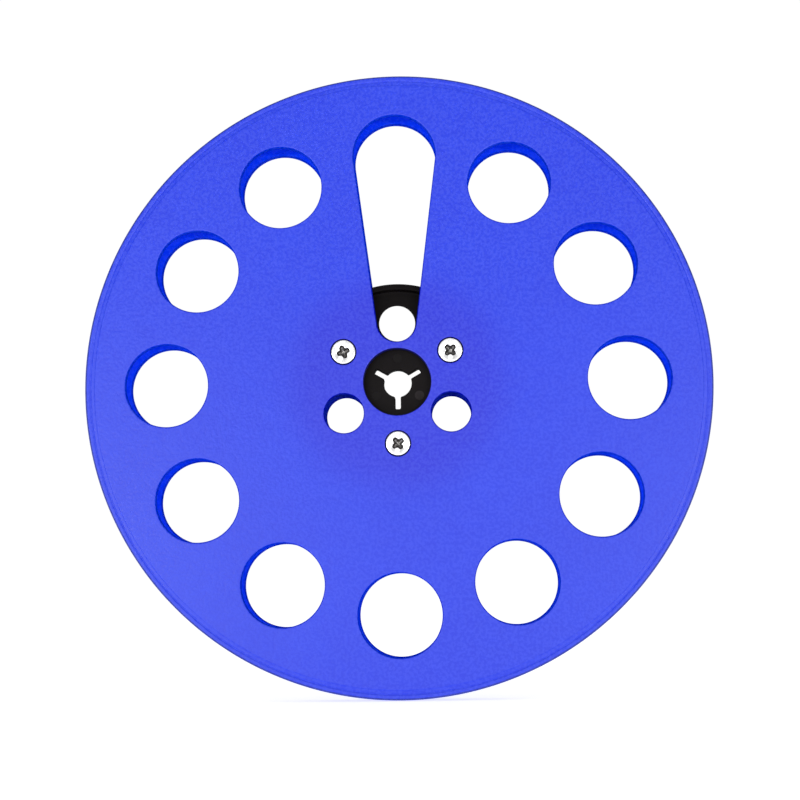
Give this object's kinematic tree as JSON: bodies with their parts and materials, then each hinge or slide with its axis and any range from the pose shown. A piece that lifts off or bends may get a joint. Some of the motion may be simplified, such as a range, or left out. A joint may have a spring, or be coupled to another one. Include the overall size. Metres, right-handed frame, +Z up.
{
  "type": "open tape reel",
  "caption": "Open tape reel: two round blue plastic flanges with round windows and a threading slot, screwed to a black hub with a keyed spindle bore.",
  "frame": {"origin": "centre of the reel, on the spin axis, midway between the two outer faces", "axes": "spin axis along Y, front flange towards -Y, threading slot pointing up along +Z, +X to the right seen from the front"},
  "size_m": [0.1778, 0.012, 0.1778],
  "materials": {
    "flange_blue": "fine-grained satin moulded plastic",
    "hub_black": "satin moulded plastic",
    "screw_nickel": "bright nickel-plated steel"
  },
  "bodies": {
    "root": {"front_flange": "flange_blue", "rear_flange": "flange_blue", "hub": "hub_black", "front_screw_1": "screw_nickel", "front_screw_2": "screw_nickel", "front_screw_3": "screw_nickel", "rear_screw_1": "screw_nickel", "rear_screw_2": "screw_nickel", "rear_screw_3": "screw_nickel"}
  },
  "joints": []
}
